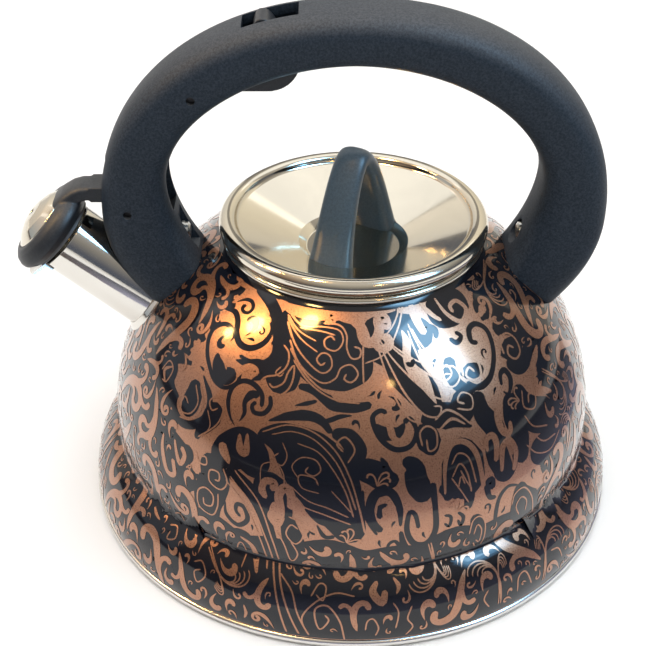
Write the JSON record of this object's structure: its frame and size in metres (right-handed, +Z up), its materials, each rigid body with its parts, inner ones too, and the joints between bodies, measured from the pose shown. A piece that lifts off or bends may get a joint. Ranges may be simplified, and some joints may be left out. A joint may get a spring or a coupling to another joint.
{
  "type": "stovetop whistling kettle",
  "caption": "Domed stovetop kettle with a flared base, loop handle with finger trigger, flip-up whistle cap on the spout and a lift-off dished lid.",
  "frame": {"origin": "centre of the underside, on the axis of the round body", "axes": "+Z up along the body's axis; the spout points to -X and the handle loop lies in the XZ plane"},
  "size_m": [0.2425, 0.22, 0.211],
  "materials": {
    "enamel": "gloss black enamel with copper scrollwork under a clear coat",
    "polished_steel": "mirror-polished stainless steel",
    "plain_steel": "plain stainless steel",
    "black_nylon": "fine matte black moulded plastic",
    "silicone": "matte dark silicone",
    "core_aluminium": "plain"
  },
  "bodies": {
    "kettle": {"body_shell": "enamel", "neck_ring": "polished_steel", "base_pan": "polished_steel", "capsule_core": "core_aluminium", "capsule_cover": "polished_steel", "spout_tube": "polished_steel", "spout_collar": "polished_steel", "spout_lip": "polished_steel", "front_bracket": "plain_steel", "rear_bracket": "plain_steel", "handle_body": "black_nylon", "handle_screws": "plain_steel", "handle_washers": "plain_steel", "trigger_pin": "plain_steel", "cap_pin": "plain_steel"},
    "trigger": {"trigger_lever": "black_nylon"},
    "cap": {"whistle_cap": "black_nylon", "cap_spring": "plain_steel", "cap_seal": "silicone", "whistle_front_disc": "polished_steel", "whistle_rear_disc": "plain_steel"},
    "lid": {"lid_dish": "polished_steel", "lid_skirt": "polished_steel", "lid_knob": "black_nylon", "knob_screws": "plain_steel", "knob_washers": "plain_steel"}
  },
  "joints": [
    {"name": "trigger_pull", "type": "hinge", "parent": "kettle", "child": "trigger", "pos_m": [-0.0594, 0, 0.18], "axis": [0, -1, 0], "range_deg": [0, 8], "stiffness_Nm_per_rad": 0.2, "springref_deg": -8.59},
    {"name": "cap_open", "type": "hinge", "parent": "kettle", "child": "cap", "pos_m": [-0.0858, 0, 0.1329], "axis": [0, 1, 0], "range_deg": [0, 36], "stiffness_Nm_per_rad": 0.03, "springref_deg": -22.92},
    {"name": "lid_lift", "type": "slide", "parent": "kettle", "child": "lid", "axis": [0, 0, 1], "range_m": [0, 0.032]}
  ],
  "couplings": [
    {"joint": "cap_open", "follows": "trigger_pull", "ratio": 4.5}
  ]
}
